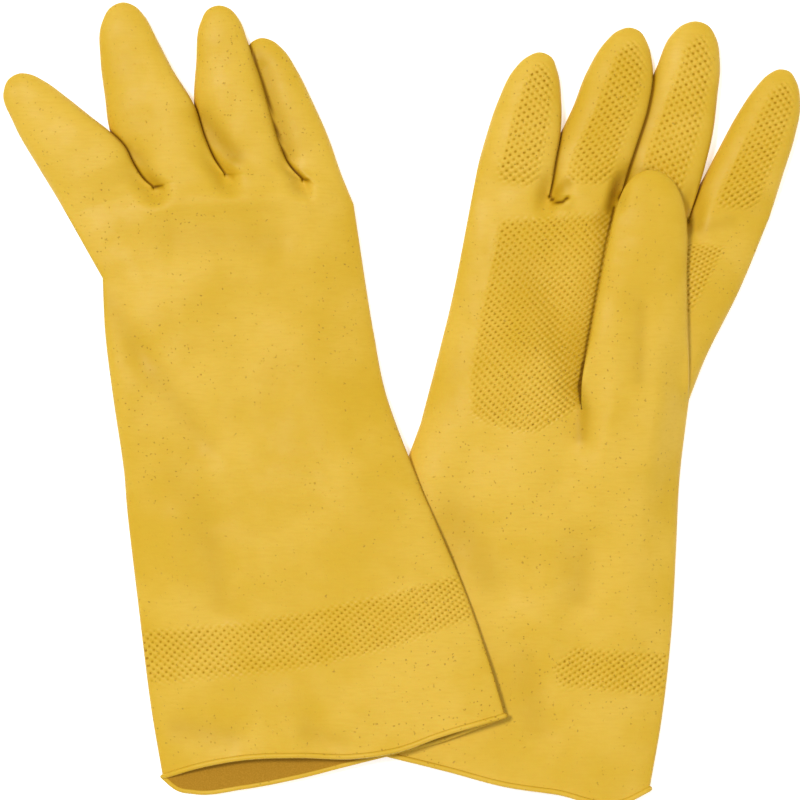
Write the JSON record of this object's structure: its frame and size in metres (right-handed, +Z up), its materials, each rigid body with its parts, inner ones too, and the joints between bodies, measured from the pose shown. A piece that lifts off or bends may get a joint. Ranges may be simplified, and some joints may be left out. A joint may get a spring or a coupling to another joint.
{
  "type": "rubber gloves",
  "caption": "Yellow household rubber gloves lying flat, one palm up with its thumb folded over, the other back up with its cuff across it.",
  "frame": {"origin": "middle of the pair's outline, on the surface that the gloves lie on", "axes": "+Z up from that surface, +Y towards the fingertips, +X to the right seen from above"},
  "size_m": [0.3102, 0.3084, 0.0224],
  "materials": {
    "latex": "satin natural latex, faint specks",
    "flock_lining": "matte cotton flock"
  },
  "bodies": {
    "lower_hand": {"lower_hand_shell": "latex", "lower_hand_lining": "flock_lining", "lower_wrist_flex": "latex", "lower_index_flex": "latex", "lower_middle_flex": "latex", "lower_ring_flex": "latex", "lower_little_flex": "latex", "lower_thumb_flex": "latex"},
    "lower_cuff": {"lower_cuff_shell": "latex", "lower_cuff_bead": "latex", "lower_cuff_lining": "flock_lining"},
    "lower_index": {"lower_index_shell": "latex", "lower_index_lining": "flock_lining"},
    "lower_middle": {"lower_middle_shell": "latex", "lower_middle_lining": "flock_lining"},
    "lower_ring": {"lower_ring_shell": "latex", "lower_ring_lining": "flock_lining"},
    "lower_little": {"lower_little_shell": "latex", "lower_little_lining": "flock_lining"},
    "lower_thumb": {"lower_thumb_shell": "latex", "lower_thumb_lining": "flock_lining"},
    "upper_hand": {"upper_hand_shell": "latex", "upper_hand_lining": "flock_lining", "upper_wrist_flex": "latex", "upper_index_flex": "latex", "upper_middle_flex": "latex", "upper_ring_flex": "latex", "upper_little_flex": "latex", "upper_thumb_flex": "latex"},
    "upper_cuff": {"upper_cuff_shell": "latex", "upper_cuff_bead": "latex", "upper_cuff_lining": "flock_lining"},
    "upper_index": {"upper_index_shell": "latex", "upper_index_lining": "flock_lining"},
    "upper_middle": {"upper_middle_shell": "latex", "upper_middle_lining": "flock_lining"},
    "upper_ring": {"upper_ring_shell": "latex", "upper_ring_lining": "flock_lining"},
    "upper_little": {"upper_little_shell": "latex", "upper_little_lining": "flock_lining"},
    "upper_thumb": {"upper_thumb_shell": "latex", "upper_thumb_lining": "flock_lining"}
  },
  "joints": [
    {"name": "lower_index_bend", "type": "hinge", "parent": "lower_hand", "child": "lower_index", "pos_m": [0.13384, 0.08862, 0.00525], "axis": [0.9445, -0.3285, 0], "range_deg": [0, 80], "stiffness_Nm_per_rad": 0.01, "deforming": ["lower_index_flex"]},
    {"name": "lower_middle_bend", "type": "hinge", "parent": "lower_hand", "child": "lower_middle", "pos_m": [0.10524, 0.10043, 0.00525], "axis": [0.9787, -0.2053, 0], "range_deg": [0, 80], "stiffness_Nm_per_rad": 0.01, "deforming": ["lower_middle_flex"]},
    {"name": "lower_ring_bend", "type": "hinge", "parent": "lower_hand", "child": "lower_ring", "pos_m": [0.07767, 0.10099, 0.00525], "axis": [0.9725, -0.233, 0], "range_deg": [0, 80], "stiffness_Nm_per_rad": 0.01, "deforming": ["lower_ring_flex"]},
    {"name": "lower_little_bend", "type": "hinge", "parent": "lower_hand", "child": "lower_little", "pos_m": [0.04705, 0.10319, 0.00525], "axis": [0.9824, -0.1868, 0], "range_deg": [0, 80], "stiffness_Nm_per_rad": 0.01, "deforming": ["lower_little_flex"]},
    {"name": "lower_thumb_bend", "type": "hinge", "parent": "lower_hand", "child": "lower_thumb", "pos_m": [0.0913, 0.01551, 0.01702], "axis": [0.989, 0, -0.1476], "range_deg": [0, 75], "stiffness_Nm_per_rad": 0.01, "deforming": ["lower_thumb_flex"]},
    {"name": "lower_cuff_bend", "type": "hinge", "parent": "lower_hand", "child": "lower_cuff", "pos_m": [0.05136, -0.04546, 0.00588], "axis": [1, 0, 0], "range_deg": [0, 60], "stiffness_Nm_per_rad": 0.08, "deforming": ["lower_wrist_flex"]},
    {"name": "upper_glove_lift", "type": "slide", "parent": "lower_hand", "child": "upper_hand", "axis": [0, 0, 1], "range_m": [0, 0.25]},
    {"name": "upper_index_bend", "type": "hinge", "parent": "upper_hand", "child": "upper_index", "pos_m": [-0.12555, 0.09262, 0.00957], "axis": [-0.7953, -0.6062, 0], "range_deg": [0, 80], "stiffness_Nm_per_rad": 0.01, "deforming": ["upper_index_flex"]},
    {"name": "upper_middle_bend", "type": "hinge", "parent": "upper_hand", "child": "upper_middle", "pos_m": [-0.09491, 0.10716, 0.0088], "axis": [-0.9549, -0.2968, 0], "range_deg": [0, 80], "stiffness_Nm_per_rad": 0.01, "deforming": ["upper_middle_flex"]},
    {"name": "upper_ring_bend", "type": "hinge", "parent": "upper_hand", "child": "upper_ring", "pos_m": [-0.06485, 0.10834, 0.0076], "axis": [-0.9909, -0.1347, 0], "range_deg": [0, 80], "stiffness_Nm_per_rad": 0.01, "deforming": ["upper_ring_flex"]},
    {"name": "upper_little_bend", "type": "hinge", "parent": "upper_hand", "child": "upper_little", "pos_m": [-0.03997, 0.10724, 0.00514], "axis": [-0.938, -0.3466, 0], "range_deg": [0, 80], "stiffness_Nm_per_rad": 0.01, "deforming": ["upper_little_flex"]},
    {"name": "upper_thumb_bend", "type": "hinge", "parent": "upper_hand", "child": "upper_thumb", "pos_m": [-0.09559, 0.01887, 0.004], "axis": [-1, 0, 0], "range_deg": [0, 75], "stiffness_Nm_per_rad": 0.01, "deforming": ["upper_thumb_flex"]},
    {"name": "upper_cuff_bend", "type": "hinge", "parent": "upper_hand", "child": "upper_cuff", "pos_m": [-0.04652, -0.04546, 0.01275], "axis": [-0.9995, 0, -0.0317], "range_deg": [0, 75], "stiffness_Nm_per_rad": 0.08, "deforming": ["upper_wrist_flex"]}
  ]
}
